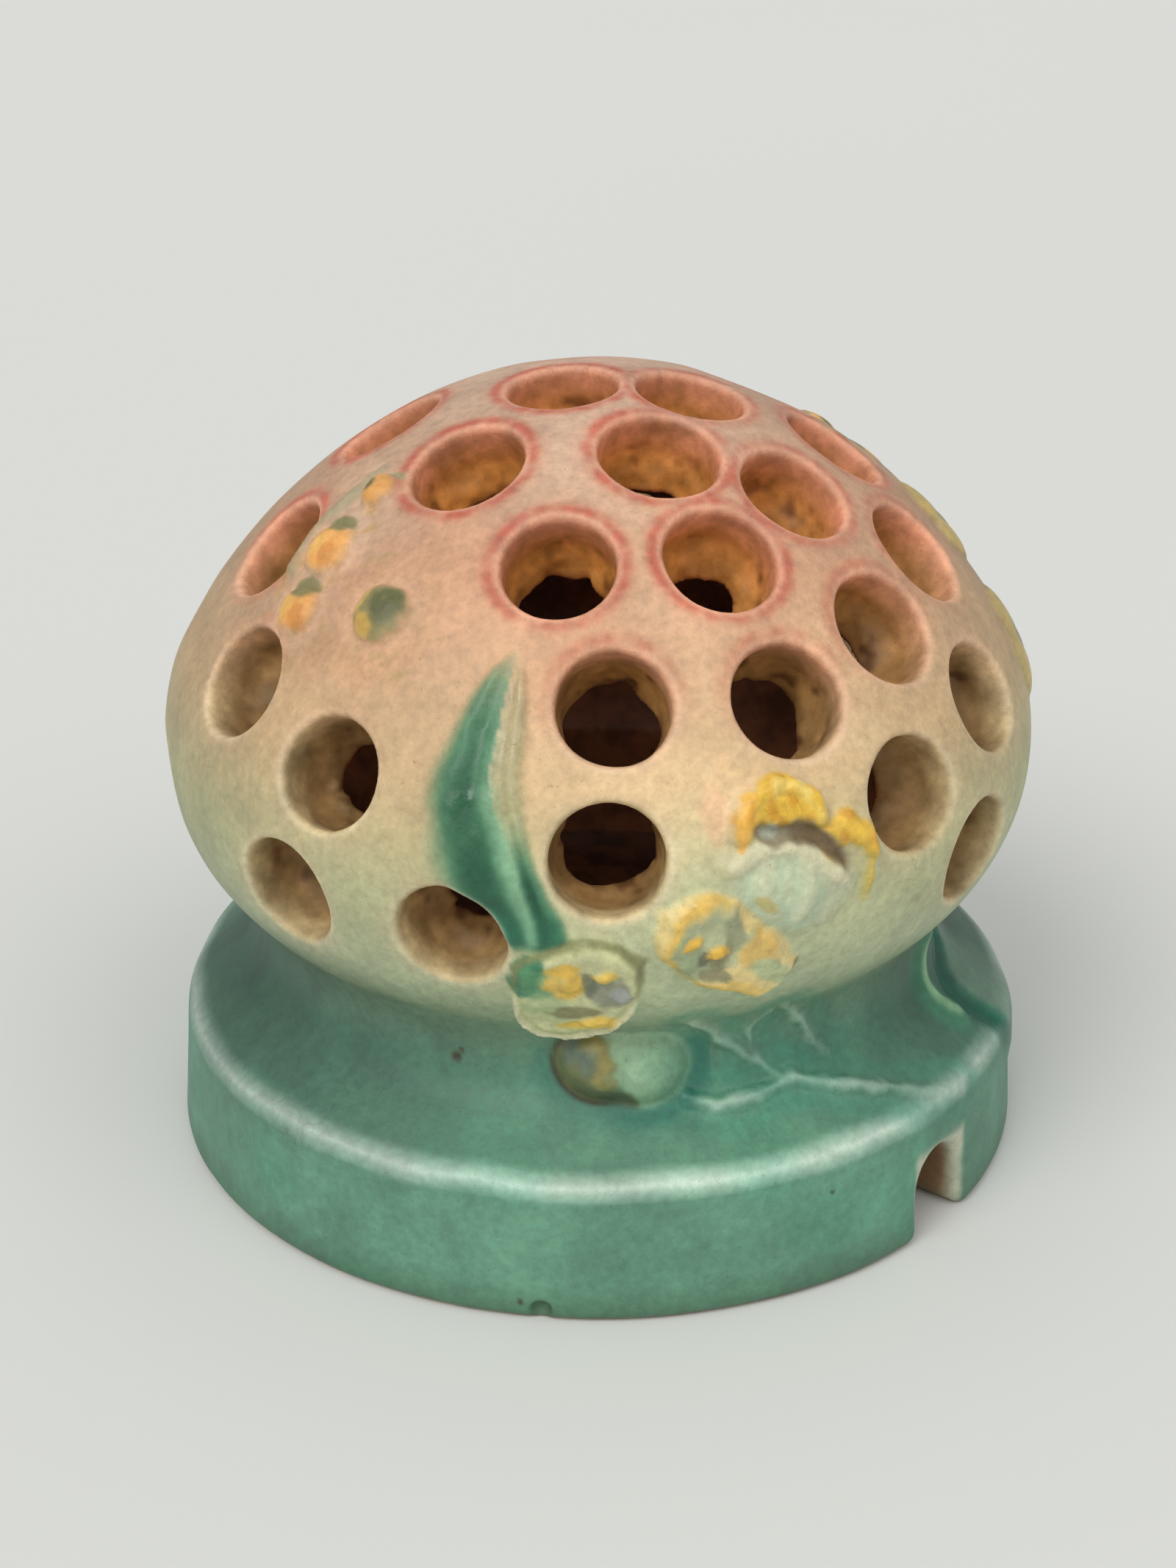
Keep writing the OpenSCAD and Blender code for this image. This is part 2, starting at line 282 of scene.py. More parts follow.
class Patch:
    """A window of the map round one place, with u to the right and v up, in millimetres."""

    def __init__(self, azimuth, run, half, warp=0.0):
        r0 = np.interp(run, rows, row_rz[:, 0])
        across = int(half / (math.radians(STEP) * r0)) + 2
        middle = int(round((azimuth + 180) / STEP))
        low, high = int(max(run - half, 0) / STEP), int(min(run + half, RUN_END) / STEP)
        self.at = (slice(low, high), slice(middle - across, middle + across))
        self.u = np.radians(map_az[self.at] - azimuth) * map_r[self.at]
        self.v = run - map_run[self.at]
        self.az, self.run, self.point = map_az[self.at], map_run[self.at], map_point[self.at]
        for name, seed in (("u", 901), ("v", 911)):
            stray = noise(self.point, 2.6, seed) + 0.5 * noise(self.point, 1.2, seed + 1)
            setattr(self, name, getattr(self, name) + warp * stray)

    def raise_by(self, h):
        height[self.at] = np.maximum(height[self.at], h)

    def press(self, h):
        height[self.at] -= h

    def tint(self, colour, t):
        t = np.clip(t, 0, 1)
        c = cover[self.at]
        total = np.maximum(c + t * (1 - c), 1e-6)
        share = (t / total)[..., None]
        paint[self.at] = paint[self.at] * (1 - share) + np.asarray(colour) * share
        cover[self.at] = total

    def own(self, name, t):
        owner[self.at] = np.where(t > 0.5, LABEL[name], owner[self.at])

    def dab(self, colour, u, v, a, b, turn=0.0, strength=0.95):
        """A ragged dab of colour that the brush did not quite fill."""
        t = self.blob(u, v, a, b, turn, True) + self.wobble(1.5, 951, 0.40) + self.wobble(0.7, 952, 0.25)
        self.tint(colour, strength * smooth(t, -0.22, 0.32))

    def daub(self, colour, strength, oval, rough, start, full):
        """An oval of colour (red, green, blue) with soft ragged edges."""
        self.tint(rgb(*colour), strength * smooth(self.blob(*oval) + rough, start, full))

    def gloss(self, t):
        shine[self.at] = np.maximum(shine[self.at], t)

    def past(self, start, full):
        """0 above the polar angle start, 1 below full."""
        return smooth(self.run, run_at_polar(start), run_at_polar(full))

    def wobble(self, size, seed, amount=1.0):
        return amount * noise(self.point, size, seed)

    def from_line(self, points):
        """Distance to a line of (u, v) points, and how far along it the nearest place is."""
        points = np.array(points, float)
        best, along = np.full(self.u.shape, 1e9), np.zeros(self.u.shape)
        lengths = np.linalg.norm(np.diff(points, axis=0), axis=1)
        total, done = lengths.sum(), 0.0
        for a, b, length in zip(points[:-1], points[1:], lengths):
            e = b - a
            t = np.clip(((self.u - a[0]) * e[0] + (self.v - a[1]) * e[1]) / (length * length), 0, 1)
            d = np.hypot(self.u - a[0] - t * e[0], self.v - a[1] - t * e[1])
            closer = d < best
            best = np.where(closer, d, best)
            along = np.where(closer, (done + t * length) / total, along)
            done += length
        return best, along

    def from_shape(self, points):
        """Signed distance to a closed shape of (u, v) points, negative inside."""
        ring = np.array(list(points) + [points[0]], float)
        d, _ = self.from_line(ring)
        inside = np.zeros(self.u.shape, bool)
        for a, b in zip(ring[:-1], ring[1:]):
            if a[1] != b[1]:
                cross = (a[1] > self.v) != (b[1] > self.v)
                inside ^= cross & (self.u < a[0] + (self.v - a[1]) * (b[0] - a[0]) / (b[1] - a[1]))
        return np.where(inside, -d, d)

    def blob(self, u, v, a, b, turn=0.0, open_ended=False):
        """1 at the middle of a soft oval and 0 at its edge, or below 0 past it if open-ended."""
        c, s = math.cos(math.radians(turn)), math.sin(math.radians(turn))
        x, y = (self.u - u) * c + (self.v - v) * s, -(self.u - u) * s + (self.v - v) * c
        raw = 1 - (x / a) ** 2 - (y / b) ** 2
        return raw if open_ended else np.maximum(raw, 0)


def dome_patch(azimuth, polar, half, warp=0.0):
    return Patch(azimuth, float(run_at_polar(polar)), half, warp)


# leaf: its left edge, rib and right edge as azimuths at polar angles from the tip to the base
patch = dome_patch(-13, 74, 27)
filled = patch.past(64, 84)
LEAF_P = [46.4, 49, 52, 55, 59, 65, 72, 80, 86, 92, 98, 102]
left = np.interp(patch.run, run_at_polar(LEAF_P),
                 [-12.3, -15.4, -17.6, -18.9, -20.2, -20.3, -19.6, -18.6, -17.4, -14.6, -12.0, -10.5])
rib = np.interp(patch.run, run_at_polar(LEAF_P),
                [-11.9, -12.4, -12.9, -13.3, -13.6, -12.6, -11.0, -9.6, -8.8, -7.8, -7.6, -8.0])
right = np.interp(patch.run, run_at_polar(LEAF_P),
                  [-11.5, -10.6, -10.0, -9.8, -9.7, -9.2, -8.4, -7.2, -6.0, -4.4, -3.8, -5.5])
side_left = patch.az < rib
across = np.where(side_left, (rib - patch.az) / np.maximum(rib - left, 0.3),
                  (patch.az - rib) / np.maximum(right - rib, 0.3)) + patch.wobble(3.0, 5, 0.05)
lengthwise = patch.past(45.5, 51) \
    * patch.past(103, 97)
body = smooth(across, 1.25, 0.85) * lengthwise
lobe = smooth(np.abs(across - 0.70), 0.50, 0.0)
down = patch.past(52, 80)
dents = 0.45 * np.maximum(noise(patch.point, 3.2, 8), 0) + 0.12 * noise(patch.point, 1.4, 10)
crest = 0.85 * smooth(across, 0.45, 0.0) * (0.2 + 0.8 * down)
patch.raise_by(body * (0.35 + crest + 0.65 * lobe - dents))
pool = smooth(np.abs(across - np.where(side_left, 0.50, 0.42)), 0.48, 0.06)
stain = 0.5 + 0.5 * noise(patch.point, 4.5, 6) + 0.25 * noise(patch.point, 1.8, 7)
wash = np.where(side_left, smooth(across, 1.32, 0.70),
                smooth(across, 1.25, 0.8) * (0.28 + 0.72 * filled))
tip = patch.past(45, 56)
patch.tint(mix(rgb(96, 146, 108), LEAF_MID, tip), wash * lengthwise * (0.55 + 0.35 * tip))
dark_left = pool * side_left * patch.past(48, 68)
dark_right = pool * ~side_left * patch.past(70, 86)
patch.tint(LEAF_DARK, (dark_left * (0.55 + 0.35 * stain) + dark_right * 0.95) * body)
patch.tint(rgb(24, 104, 76), patch.past(86, 95) * body * 0.55)
patch.tint(rgb(158, 198, 160), smooth(across, 0.34, 0.04) * body * down * 0.62)
patch.own("leaf", smooth(across, 1.2, 0.9) * lengthwise * 1.2)
patch.gloss(body * (0.35 + 0.65 * smooth(noise(patch.point, 1.7, 9), 0.1, 0.6)))

# bell blossom: yellow hood, dark mouth, pale rounded lip and a body that fades downwards
patch = dome_patch(23, 82, 15, 0.35)
ragged = patch.wobble(1.6, 11, 0.45) + patch.wobble(0.8, 12, 0.25)
hood = patch.from_shape([(-6.0, 3.2), (-6.3, 5.6), (-4.8, 8.0), (-2.4, 9.5), (0.4, 9.7), (2.7, 8.1),
                         (4.0, 6.0), (3.9, 4.6), (2.6, 4.2), (1.2, 5.0), (0.2, 4.3), (-1.2, 4.9),
                         (-2.2, 4.1), (-3.4, 5.2), (-4.7, 4.2)]) + ragged
arch, _ = patch.from_line([(-5.6, 4.2), (-5.4, 6.0), (-3.8, 8.0), (-1.2, 8.9), (1.3, 8.2),
                           (2.9, 6.6), (3.4, 5.0)])
lobe_line, lobe_along = patch.from_line([(4.9, 2.4), (7.0, 3.0), (9.2, 1.4), (9.9, -1.2), (9.3, -4.4)])
lobe_shape = lobe_line - mix([2.2], [0.2], lobe_along)[..., 0] + ragged
band, _ = patch.from_line([(-3.6, 4.4), (-1.9, 3.7), (0.2, 3.8), (2.6, 3.1), (4.6, 1.2), (6.2, -0.8)])
lip, _ = patch.from_line([(-6.6, 1.2), (-4.2, 2.5), (-2.0, 2.8), (0.5, 2.2), (3.2, 0.7), (5.0, -1.5)])
rib_a, _ = patch.from_line([(-3.4, 1.0), (-3.8, -2.0), (-2.6, -5.0)])
rib_b, _ = patch.from_line([(1.2, 0.4), (1.6, -2.6), (0.6, -5.4)])
bell = patch.blob(-0.3, -1.7, 8.4, 6.6, -18)
ribs = np.minimum(rib_a, rib_b)
in_bell = smooth(bell, 0, 0.3)
patch.raise_by(1.05 * np.minimum(bell, 1) ** 0.6 + 0.3 * smooth(ribs, 1.4, 0.2) * in_bell)
patch.raise_by(1.55 * smooth(lip, 2.7, 0.2))
patch.raise_by(1.25 * smooth(hood, 0.5, -0.9))
patch.raise_by(1.7 * smooth(arch, 1.7, 0.2))
patch.raise_by(1.3 * smooth(lobe_shape, 0.5, -1.0))
patch.press(0.9 * smooth(band, 1.3, 0.2))
patch.tint(rgb(208, 214, 182), 0.8 * smooth(bell + 0.25 * ragged, -0.05, 0.6))
patch.tint(rgb(172, 202, 170), 0.35 * smooth(np.abs(ribs - 1.6), 1.2, 0.2) * in_bell)
patch.dab(rgb(198, 180, 104), -3.4, -3.6, 1.5, 0.9, -40, 0.7)
patch.tint(rgb(230, 222, 184), 0.85 * smooth(lip + 0.6 * ragged, 2.1, 0.3))
patch.tint(YELLOW, smooth(hood, 0.35, -0.15))
patch.tint(rgb(214, 150, 44), 0.7 * smooth(hood, 0.1, -0.4) * smooth(patch.wobble(1.1, 14), 0.0, 0.5))
patch.tint(rgb(248, 222, 128), 0.75 * smooth(arch, 1.2, 0.3) * smooth(patch.wobble(1.5, 15), -0.3, 0.5))
patch.tint(rgb(232, 168, 80), 0.65 * smooth(hood, 0.6, -0.2) * smooth(patch.u, -3.6, -6.0))
patch.tint(YELLOW, 0.95 * smooth(lobe_shape, 0.35, -0.3))
patch.tint(rgb(206, 142, 52),
           0.7 * smooth(lobe_shape, 0.1, -0.4) * smooth(patch.wobble(1.1, 16), 0.0, 0.5))
drip, _ = patch.from_line([(9.4, -1), (9.0, -5.5)])
patch.tint(rgb(198, 182, 100), 0.6 * smooth(drip + ragged, 1.2, 0.3))
patch.tint(rgb(150, 142, 116), 0.95 * smooth(band + 0.8 * ragged, 1.35, 0.6))
patch.tint(rgb(122, 100, 70), 0.9 * smooth(band + ragged, 1.0, 0.3) * smooth(patch.u, -0.8, 1.5))
patch.dab(rgb(176, 180, 166), -2.7, 4.3, 1.3, 0.9, 0, 0.85)
patch.tint(rgb(240, 190, 150), 0.55 * smooth(patch.blob(-8.0, 6.4, 2.0, 3.8), 0, 0.8))
patch.press(0.35 * np.maximum(patch.wobble(1.7, 17), 0) * smooth(hood, 0.2, -0.4))
patch.own("bell_blossom", np.maximum.reduce([smooth(hood, 0.6, 0), smooth(lip, 1.8, 1.0),
                                             smooth(lobe_shape, 0.6, 0), smooth(bell, 0, 0.2)]))
patch.gloss(0.7 * smooth(hood, 0.3, -0.3) + 0.15 * smooth(lip, 1.5, 0.3))

# open blossom: a tilted ring of yellow petals round a grey-green throat with a dot
patch = dome_patch(13, 102, 14, 0.5)
ragged = patch.wobble(1.7, 21, 0.35) + patch.wobble(0.8, 22, 0.2)
ring = patch.from_shape([(-6.3, 1.6), (-5.2, 5.0), (-2.8, 6.7), (0, 7.1), (2.6, 5.8), (4.4, 3.5),
                         (7.2, 0.8), (10.4, -3.0), (10.0, -4.6), (8.6, -6.4), (6.2, -8.6),
                         (2.9, -6.9), (-0.4, -5.4), (-3.1, -3.0), (-5.4, -0.2)]) + 0.6 * ragged
throat = patch.blob(0.4, 0.6, 4.2, 4.8, 20)
patch.raise_by(1.55 * smooth(ring, 0.6, -1.4) * (1 - 0.45 * smooth(throat, 0.0, 0.9)))
patch.tint(rgb(230, 206, 138), 0.95 * smooth(ring, 0.6, -0.3))
collar = np.abs(patch.blob(0.4, 0.6, 4.2, 4.8, 20, True) + 0.35 + 0.3 * ragged)
patch.tint(rgb(236, 190, 84),
           0.75 * smooth(collar, 0.55, 0.1) * smooth(ring, 0.2, -0.4) * smooth(patch.u, 3.0, 0.0))
for colour, *spot in [
        ((226, 190, 108), 4.6, 0.2, 2.6, 1.8, -40), ((234, 196, 104), 3.0, -5.4, 3.4, 1.4, -20, 0.8),
        ((182, 190, 152), 0.2, 1.6, 3.7, 4.0, 0, 0.9), ((160, 176, 136), -2.6, 0.4, 1.4, 2.6, 20, 0.8),
        ((148, 152, 118), 2.3, 2.6, 1.2, 2.4, 10, 0.8),
        ((160, 176, 136), -1.8, -1.8, 2.0, 1.4, 0, 0.7),
        ((136, 132, 98), 1.3, -0.8, 0.9, 1.9, -30, 0.8),
        ((112, 112, 88), -0.5, -0.5, 1.1, 0.8, 20, 0.85),
        ((140, 138, 106), 0.4, -2.7, 1.8, 0.9, -15, 0.85), ((240, 190, 76), -1.9, 1.8, 1.3, 0.9, 30),
        ((186, 196, 148), 6.8, -3.0, 3.0, 1.5, -38), ((240, 190, 76), 0.8, 0.0, 1.1, 1.1)]:
    patch.dab(rgb(*colour), *spot)
patch.raise_by(1.75 * smooth(patch.blob(0.8, 0.0, 1.1, 1.1), 0, 0.6))
patch.raise_by(1.6 * smooth(patch.blob(-1.9, 1.8, 1.5, 1.0, 20), 0, 0.7))
edge, _ = patch.from_line([(10.2, -3.4), (8.8, -6.0), (6.0, -8.8)])
patch.tint(rgb(116, 104, 58), 0.8 * smooth(edge + ragged, 0.8, 0.2))
patch.press(0.45 * np.maximum(patch.wobble(1.9, 23), 0) * smooth(ring, 0.2, -0.4))
patch.own("open_blossom", smooth(ring, 0.7, 0.2))
patch.gloss(0.6 * smooth(ring, 0.3, -0.3))

# oval blossom: seen end on, with a thin pale rim that hangs to the waist
patch = dome_patch(-2.5, 112, 16, 0.5)
ragged = patch.wobble(1.7, 31, 0.35) + patch.wobble(0.8, 32, 0.2)
oval = patch.from_shape([(-7.0, 0.4), (-6.0, 3.6), (-3.0, 5.4), (1.2, 6.0), (4.5, 5.4), (6.7, 3.3),
                         (7.0, 0.2), (5.8, -4.0), (3.0, -8.0), (-1.0, -10.6), (-4.6, -9.6),
                         (-6.6, -5.6)])
patch.raise_by(1.25 * smooth(oval, 0.6, -1.3) - 0.3 * smooth(oval, -0.8, -3.0))
patch.raise_by(1.6 * smooth(np.abs(oval), 0.9, 0.1) * smooth(patch.v, 0, -5))
patch.tint(rgb(206, 206, 156), 0.95 * smooth(oval + 0.3 * ragged, 0.4, -0.3))
patch.dab(rgb(40, 112, 82), -5.4, 1.8, 1.9, 3.2, -20, 0.9)
patch.dab(rgb(96, 150, 104), -4.2, 0.4, 1.9, 2.6, 10, 0.7)
patch.tint(rgb(128, 130, 84), 0.85 * smooth(np.abs(oval + 0.1), 0.75, 0.2) * smooth(patch.v, -3, 2))
for colour, *spot in [
        ((232, 190, 80), -1.4, 2.6, 2.0, 1.1, 10), ((236, 194, 84), -0.6, 0.2, 1.2, 2.3, -30),
        ((226, 182, 78), -2.4, 0.6, 1.2, 1.4, 0, 0.8),
        ((186, 198, 148), -3.2, -3.6, 2.8, 2.2, -30, 0.8),
        ((146, 148, 126), 3.4, -0.4, 2.3, 2.8, 0, 0.9),
        ((112, 116, 94), 1.6, 0.8, 0.9, 2.2, -10, 0.85),
        ((138, 130, 92), -0.4, -4.2, 3.0, 1.1, 12, 0.85), ((238, 198, 88), 1.4, -6.4, 3.8, 1.5, 18),
        ((238, 200, 92), 3.0, 2.4, 1.3, 0.9), ((172, 178, 176), 4.4, -0.6, 1.1, 1.1, 0, 0.8)]:
    patch.dab(rgb(*colour), *spot)
patch.raise_by(1.6 * smooth(patch.blob(3.0, 2.4, 1.2, 1.0), 0, 0.7))
patch.raise_by(1.3 * smooth(patch.blob(-0.8, 0.8, 1.6, 2.4, -20), 0, 0.7))
patch.raise_by(1.5 * smooth(patch.blob(1.6, -6.4, 3.2, 1.5, 20), 0, 0.8))
patch.tint(rgb(226, 220, 186), 0.85 * smooth(np.abs(oval - 0.15), 0.7, 0.15) * smooth(patch.v, -1, -6))
patch.press(0.45 * np.maximum(patch.wobble(1.9, 33), 0) * smooth(oval, 0.0, -0.8))
patch.own("oval_blossom", smooth(oval, 0.7, 0.3))
patch.gloss(0.6 * smooth(oval, 0.3, -0.3))

# the side spray: three orange buds with green caps on a stem, and one darker bud beside it
RIPE, UNRIPE = (228, 164, 86), (140, 132, 84)


def ripe_bud(cap_u, cap_v):
    """Daubs of an orange bud: a light side, a dark side and a green cap."""
    return [((238, 192, 100), 0.6, (-1.2, -0.4, 1.8, 2.0), 0.5, 0, 0.8),
            ((206, 128, 62), 0.5, (1.3, -0.8, 1.3, 1.8, 20), 0.5, 0, 0.7),
            ((122, 122, 78), 0.85, (cap_u, cap_v, 2.5, 1.7, 10), 0.5, 0.05, 0.6)]


# name, azimuth, polar, half width, half height, colour, and its daubs
BUDS = [
    ("upper_bud", -57.0, 34.2, 2.5, 2.3, RIPE,
     [((112, 106, 62), 0.9, (-1.2, -0.2, 1.2, 1.1), 0.2, 0.05, 0.4),
      ((150, 150, 110), 0.7, (0.4, 2.9, 2.2, 0.9, 25), 0.3, 0.05, 0.5)]),
    ("middle_bud", -55.8, 41.9, 3.7, 3.5, RIPE, ripe_bud(-1.2, 3.2)),
    ("lower_bud", -53.0, 48.4, 3.1, 3.1, RIPE, ripe_bud(-1.0, 2.6)),
    ("side_bud", -36.6, 45.8, 3.7, 3.7, UNRIPE,
     [((92, 96, 58), 0.85, (0.9, 0.8, 2.2, 2.5, 20), 0.5, 0.05, 0.7),
      ((206, 166, 84), 0.9, (-1.0, -2.0, 1.9, 1.4, -20), 0.5, 0.05, 0.7),
      ((214, 178, 96), 0.8, (-2.6, 1.0, 0.9, 2.2, -10), 0.4, 0.05, 0.6)])]
for name, azimuth, polar, a, b, colour, daubs in BUDS:
    patch = dome_patch(azimuth, polar, 7, 0.22)
    ragged = patch.wobble(1.5, 41, 0.35) + patch.wobble(0.7, 43, 0.3)
    ball = patch.blob(0, 0, a, b)
    patch.raise_by(1.6 * ball ** 0.55)
    patch.daub((228, 186, 152), 0.45, (0, 0, a + 2.2, b + 2.2), 0.4 * ragged, 0.0, 0.7)
    patch.daub(colour, 0.92, (0, 0, a, b), 0.3 * ragged, 0.0, 0.55)
    for daub, strength, oval, rough, start, full in daubs:
        patch.daub(daub, strength, oval, rough * ragged, start, full)
    patch.own(name, smooth(ball, 0.0, 0.05) * 2)
    patch.gloss(0.4 * ball)
patch = dome_patch(-62, 39, 12)
spray, _ = patch.from_line([(-0.3, 7.5), (-0.9, 3.5), (-1.2, 0), (-0.8, -3.4), (0.2, -7.2)])
patch.raise_by(0.75 * smooth(spray, 1.5, 0.2))
patch.tint(rgb(150, 150, 116), 0.6 * smooth(spray + patch.wobble(1.6, 42, 0.5), 1.4, 0.3))
patch.own("spray_stem", smooth(spray, 1.0, 0.6))


# ribs of the leaf spread over the foot: (azimuth, height) places, width and strength of each
VEIN_AZ = 33
VEIN_RUN = float(run_at_z(23))
patch = Patch(VEIN_AZ, VEIN_RUN, 26, 0.35)
VEINS = [([(13.2, 23.3), (17.1, 22.3), (21.4, 22.2), (26.4, 22.8), (30.3, 23.1), (34.3, 21.9),
           (39.3, 20.8), (44.3, 19.4), (49.4, 17.9), (56, 16.4)], 1.0, 1.0),
         ([(13.6, 33.5), (17.9, 29.6), (21.6, 27.6), (25.5, 25), (28, 23.5), (30.3, 23.1)], 0.7, 0.8),
         ([(25.8, 32.9), (23.8, 31.4), (23.2, 29.3), (24, 26.8), (26.1, 24.9)], 0.5, 0.6),
         ([(27.6, 33.6), (32.7, 29.2), (35.5, 25.8), (37.1, 24.3)], 0.6, 0.7)]
mean_r = map_r[patch.at].mean()


def on_foot_map(places, azimuth, run, radius):
    """(azimuth, height) places on the foot as (u, v) of a patch of one mean radius."""
    p = np.array(places, float)
    return np.stack([np.radians(p[:, 0] - azimuth) * radius, run - run_at_z(p[:, 1])], 1)


veins = np.full(patch.u.shape, 9.0)
patch.u = patch.u * mean_r / np.maximum(map_r[patch.at], 1)
for places, width, strength in VEINS:
    d, along = patch.from_line(on_foot_map(places, VEIN_AZ, VEIN_RUN, mean_r))
    thin = 1 - 0.5 * smooth(along, 0.5, 1.0)
    patch.raise_by(0.85 * strength * thin * smooth(d, 1.6 * width, 0.1))
    patch.tint(rgb(70, 140, 116), 0.40 * strength * smooth(np.abs(d - 2.6), 2.4, 0.2))
    worn = d + patch.wobble(1.2, 51, 0.45)
    patch.tint(rgb(176, 204, 186), 0.80 * strength * thin * smooth(worn, 1.2 * width, 0.1))
    veins = np.minimum(veins, d / width)
patch.own("foot_veins", smooth(veins, 0.9, 0.7))
patch.gloss(0.5 * smooth(veins, 3, 1))

# the curled stem on the right of the foot, and the flat lobe past its dark groove
CURL_AZ, CURL_RUN = 72, float(run_at_z(20))
GROOVE = [(80, 29), (79.0, 25.2), (74.2, 23.6), (71.2, 21.6), (71.0, 19.6),
          (72.6, 17.3), (73.9, 14.8), (78.3, 8.9)]
patch = Patch(CURL_AZ, CURL_RUN, 20)
mean_r = float(np.interp(CURL_RUN, rows, row_rz[:, 0]))
patch.u = np.radians(patch.az - CURL_AZ) * mean_r


def curl(places):
    return on_foot_map(places, CURL_AZ, CURL_RUN, mean_r)


crest_d, _ = patch.from_line(curl([(67.5, 30), (66.1, 26.8), (64.9, 24.1), (65.3, 22), (66.6, 20.4)]))
groove_d, groove_along = patch.from_line(curl(GROOVE))
lobe_d = patch.from_shape(curl([(79.5, 28)] + GROOVE[1:] + [(88, 10), (98, 15), (104, 20), (100, 27)]))
lobe_fade = smooth(patch.az, 93, 80)
groove_fade = smooth(groove_along, 1.0, 0.7)
patch.raise_by(0.55 * smooth(lobe_d, 0.5, -2.6) * lobe_fade)
patch.raise_by(1.0 * smooth(crest_d, 3.0, 0.2))
patch.press(0.30 * smooth(groove_d, 1.8, 0.2) * groove_fade)
patch.tint(rgb(112, 142, 122), 0.75 * smooth(lobe_d, 0.5, -2.0) * lobe_fade)
patch.tint(rgb(60, 128, 96), 0.7 * smooth(crest_d, 4.0, 1.4))
patch.tint(rgb(12, 86, 66), 0.95 * smooth(groove_d, 2.8, 0.4) * groove_fade)
patch.tint(rgb(158, 194, 150), 0.75 * smooth(crest_d + patch.wobble(1.6, 52, 0.3), 1.3, 0.2))
patch.own("curled_stem", smooth(crest_d, 2.0, 1.4))
patch.gloss(0.7 * smooth(groove_d, 3, 0.5) * groove_fade)

# the front's work again, turned round to the back
turned = int(round(BACK_TURN / STEP))
back_height, back_paint, back_cover, back_owner, back_shine = (
    np.roll(table, turned, 1) for table in (height, paint, cover, owner, shine))
# the unseen spray lies flatter, so that it stays behind the dome's edge from the front
flatter = smooth(np.abs(map_az - 113), 17, 12) * smooth(map_run, run_at_polar(58), run_at_polar(54))
back_height = back_height * (1 - 0.6 * flatter)
height = np.where(np.abs(back_height) > np.abs(height), back_height, height)
paint = np.where((back_cover > cover)[..., None], back_paint, paint)
cover = np.maximum(cover, back_cover)
shine = np.maximum(shine, back_shine)
owner = np.where(back_owner > 0, back_owner + len(PARTS), owner)

# two blossoms on the right flank, half seen from the front
FLANK = 2 * len(PARTS)
for k, (azimuth, polar, size) in enumerate([(98, 48, 6.0), (89, 64, 7.0)]):
    patch = dome_patch(azimuth, polar, 9)
    ragged = patch.wobble(1.7, 61 + k, 0.3)
    petals = np.maximum.reduce([patch.blob(0, 0.35 * size, 0.7 * size, 0.7 * size),
                                patch.blob(-0.4 * size, -0.3 * size, 0.62 * size, 0.62 * size),
                                patch.blob(0.4 * size, -0.3 * size, 0.62 * size, 0.62 * size)])
    patch.raise_by(0.9 * petals ** 0.6)
    patch.tint(rgb(196, 172, 104), 0.9 * smooth(petals + 0.3 * ragged, 0, 0.3))
    patch.tint(rgb(214, 178, 96),
               0.8 * smooth(patch.wobble(2.5, 71), -0.2, 0.6) * smooth(petals, 0, 0.4))
    patch.tint(rgb(150, 146, 104), 0.6 * smooth(petals, 0.35, 0.0) * smooth(petals, 0.0, 0.1))
    patch.daub((132, 130, 112), 0.8, (0, 0, 0.42 * size, 0.42 * size), 0.4 * ragged, 0.1, 0.7)
    patch.daub((236, 190, 84), 0.9, (0.3, -0.2, 0.16 * size, 0.16 * size), 0.3 * ragged, 0.1, 0.6)
    owner[patch.at] = np.where(petals > 0.02, FLANK + 1 + k, owner[patch.at])
    patch.gloss(0.5 * petals)

# ---------------------------------------------------------------- glaze under the painting, and painted shade at each face's sides
# bands of glaze, by polar angle down the dome and by height down the foot
DOME_GLAZE = [
    (8, rgb(205, 175, 155)),     # dusty pink crown
    (45, rgb(225, 180, 145)),    # peach
    (60, rgb(230, 195, 150)),    # cream
    (90, rgb(205, 205, 160)),    # pale olive
    (118, rgb(190, 200, 165)),   # sage
    (137, rgb(145, 165, 135)),   # grey green waist
]
DEEP_GREEN, WALL_GREEN = rgb(90, 140, 115), rgb(100, 150, 125)
FOOT_GLAZE = [
    (31, rgb(120, 150, 125)), (25, DEEP_GREEN), (18.5, DEEP_GREEN),
    (16.9, rgb(205, 225, 210)),  # thin pale glaze over the shoulder, made brighter as a painted highlight
    (15, WALL_GREEN), (5, WALL_GREEN), (0.5, rgb(80, 120, 95)),
]
# painted shade: each face is brightest at this azimuth from its middle, and is painted darker towards
# its sides over this width
LIT_MIDDLE_AZ, SIDE_SHADE_WIDTH = 12, 55


def banded(bands, run_at, run):
    """Glaze that runs from each band's colour to the next."""
    at = run_at([where for where, _ in bands])
    return np.stack([np.interp(run, at, [colour[i] for _, colour in bands]) for i in range(3)], -1)


def sprayed_and_side_shaded(azimuth, run):
    """Glaze colour on the outside before the painted work, with painted shade darkening each face
    towards its sides, repeated round the back.
    """
    ground = mix(banded(DOME_GLAZE, run_at_polar, run), banded(FOOT_GLAZE, run_at_z, run),
                 smooth(run, run_at_polar(134), run_at_z(30.5)))
    # painted shade at the sides: most on the deck and hardly any at the crown and the wall
    stops = np.concatenate([run_at_polar([10, 50, 125]), run_at_z([24, 18, 13])])
    dim = np.interp(run, stops, [0.05, 0.22, 0.18, 0.38, 0.30, 0.06])
    front, back = (1 - np.exp(-((wrap(azimuth - turn_deg) - LIT_MIDDLE_AZ) / SIDE_SHADE_WIDTH) ** 2)
                   for turn_deg in (0, BACK_TURN))
    behind = smooth(np.abs(wrap(azimuth)), 72, 108)
    return ground * (1 - dim * (front + (back - front) * behind))[..., None]


